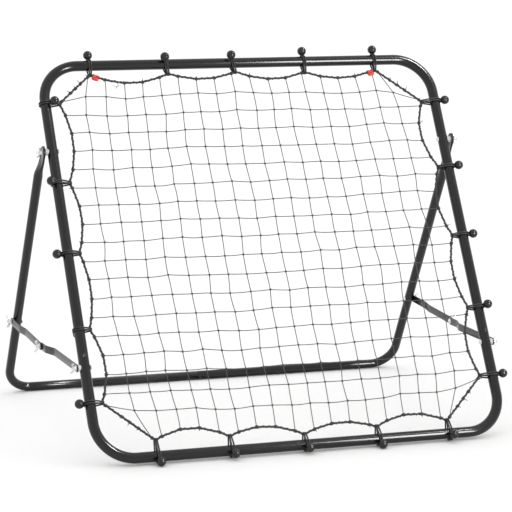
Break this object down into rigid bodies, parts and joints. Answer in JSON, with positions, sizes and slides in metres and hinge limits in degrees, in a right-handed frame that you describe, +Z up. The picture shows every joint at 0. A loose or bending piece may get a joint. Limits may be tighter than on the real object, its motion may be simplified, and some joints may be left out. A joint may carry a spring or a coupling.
{
  "type": "pitch back rebounder",
  "caption": "Ball rebounder: a twine net held by ball bungees in a tubular steel hoop that leans back on a folding braced stand.",
  "frame": {"origin": "on the floor, under the middle of the footprint", "axes": "+X across the hoop, +Y to the back where the stand is, +Z up"},
  "size_m": [1.1108, 0.7979, 0.8841],
  "materials": {
    "frame": "black powder coat, semi-gloss",
    "stand": "black powder coat, semi-gloss",
    "bars": "grey coated flat steel",
    "zinc": "bright zinc plate",
    "sleeve": "plain steel tube",
    "spacer": "pale moulded plastic",
    "black_screws": "black",
    "net_twine": "knotted twine",
    "rope": "twisted cord",
    "elastic": "braided elastic",
    "balls": "moulded plastic",
    "red": "moulded plastic"
  },
  "bodies": {
    "front_frame": {"upper_left_tube": "frame", "upper_right_tube": "frame", "lower_left_tube": "frame", "lower_right_tube": "frame", "top_joint_sleeve": "sleeve", "bottom_joint_sleeve": "sleeve", "left_joint_sleeve": "sleeve", "right_joint_sleeve": "sleeve", "frame_joint_screws": "black_screws", "net": "net_twine", "edge_rope": "rope", "red_ties": "red", "top_bungee_loops": "elastic", "top_bungee_balls": "balls", "bottom_bungee_loops": "elastic", "bottom_bungee_balls": "balls", "left_bungee_loops": "elastic", "left_bungee_balls": "balls", "right_bungee_loops": "elastic", "right_bungee_balls": "balls", "left_pivot_bolt": "zinc", "left_pivot_spacer": "spacer", "left_pivot_washer": "zinc", "left_brace_front_bolt": "zinc", "left_brace_front_spacer": "spacer", "left_brace_front_washer": "zinc", "right_pivot_bolt": "zinc", "right_pivot_spacer": "spacer", "right_pivot_washer": "zinc", "right_brace_front_bolt": "zinc", "right_brace_front_spacer": "spacer", "right_brace_front_washer": "zinc"},
    "rear_stand": {"left_leg": "stand", "right_leg": "stand", "stand_joint_sleeve": "sleeve", "stand_joint_screws": "black_screws", "left_brace_rear_bolt": "zinc", "left_brace_rear_washer": "zinc", "right_brace_rear_bolt": "zinc", "right_brace_rear_washer": "zinc"},
    "left_front_bar": {"left_front_bar": "bars", "left_brace_mid_bolt": "zinc"},
    "left_rear_bar": {"left_rear_bar": "bars", "left_brace_mid_stud": "zinc", "left_brace_mid_washer": "zinc"},
    "left_pivot_wing_nut": {"left_pivot_wing_nut": "zinc"},
    "left_brace_front_wing_nut": {"left_brace_front_wing_nut": "zinc"},
    "left_brace_mid_wing_nut": {"left_brace_mid_wing_nut": "zinc"},
    "left_brace_rear_wing_nut": {"left_brace_rear_wing_nut": "zinc"},
    "right_front_bar": {"right_front_bar": "bars", "right_brace_mid_bolt": "zinc"},
    "right_rear_bar": {"right_rear_bar": "bars", "right_brace_mid_stud": "zinc", "right_brace_mid_washer": "zinc"},
    "right_pivot_wing_nut": {"right_pivot_wing_nut": "zinc"},
    "right_brace_front_wing_nut": {"right_brace_front_wing_nut": "zinc"},
    "right_brace_mid_wing_nut": {"right_brace_mid_wing_nut": "zinc"},
    "right_brace_rear_wing_nut": {"right_brace_rear_wing_nut": "zinc"}
  },
  "joints": [
    {"name": "stand_fold", "type": "hinge", "parent": "front_frame", "child": "rear_stand", "pos_m": [0, 0.03968, 0.65942], "axis": [-1, 0, 0], "range_deg": [0, 41]},
    {"name": "left_front_bar_turn", "type": "hinge", "parent": "front_frame", "child": "left_front_bar", "pos_m": [0, -0.24489, 0.20402], "axis": [1, 0, 0], "range_deg": [0, 53.32]},
    {"name": "left_rear_bar_turn", "type": "hinge", "parent": "rear_stand", "child": "left_rear_bar", "pos_m": [0, 0.28339, 0.20574], "axis": [-1, 0, 0], "range_deg": [0, 50.57]},
    {"name": "left_pivot_nut_spin", "type": "hinge", "parent": "front_frame", "child": "left_pivot_wing_nut", "pos_m": [0, 0.03968, 0.65942], "axis": [-1, 0, 0], "continuous": true},
    {"name": "left_brace_front_nut_spin", "type": "hinge", "parent": "front_frame", "child": "left_brace_front_wing_nut", "pos_m": [0, -0.24489, 0.20402], "axis": [-1, 0, 0], "continuous": true},
    {"name": "left_brace_mid_nut_spin", "type": "hinge", "parent": "left_rear_bar", "child": "left_brace_mid_wing_nut", "pos_m": [0, 0.02511, 0.19802], "axis": [-1, 0, 0], "continuous": true},
    {"name": "left_brace_rear_nut_spin", "type": "hinge", "parent": "rear_stand", "child": "left_brace_rear_wing_nut", "pos_m": [0, 0.28339, 0.20574], "axis": [-1, 0, 0], "continuous": true},
    {"name": "right_front_bar_turn", "type": "hinge", "parent": "front_frame", "child": "right_front_bar", "pos_m": [0, -0.24489, 0.20402], "axis": [1, 0, 0], "range_deg": [0, 53.32]},
    {"name": "right_rear_bar_turn", "type": "hinge", "parent": "rear_stand", "child": "right_rear_bar", "pos_m": [0, 0.28339, 0.20574], "axis": [-1, 0, 0], "range_deg": [0, 50.57]},
    {"name": "right_pivot_nut_spin", "type": "hinge", "parent": "front_frame", "child": "right_pivot_wing_nut", "pos_m": [0, 0.03968, 0.65942], "axis": [1, 0, 0], "continuous": true},
    {"name": "right_brace_front_nut_spin", "type": "hinge", "parent": "front_frame", "child": "right_brace_front_wing_nut", "pos_m": [0, -0.24489, 0.20402], "axis": [1, 0, 0], "continuous": true},
    {"name": "right_brace_mid_nut_spin", "type": "hinge", "parent": "right_rear_bar", "child": "right_brace_mid_wing_nut", "pos_m": [0, 0.02511, 0.19802], "axis": [1, 0, 0], "continuous": true},
    {"name": "right_brace_rear_nut_spin", "type": "hinge", "parent": "rear_stand", "child": "right_brace_rear_wing_nut", "pos_m": [0, 0.28339, 0.20574], "axis": [1, 0, 0], "continuous": true}
  ],
  "couplings": [
    {"joint": "left_front_bar_turn", "follows": "stand_fold", "ratio": 1.2883},
    {"joint": "left_rear_bar_turn", "follows": "stand_fold", "ratio": 1.2212},
    {"joint": "right_front_bar_turn", "follows": "stand_fold", "ratio": 1.2883},
    {"joint": "right_rear_bar_turn", "follows": "stand_fold", "ratio": 1.2212}
  ]
}
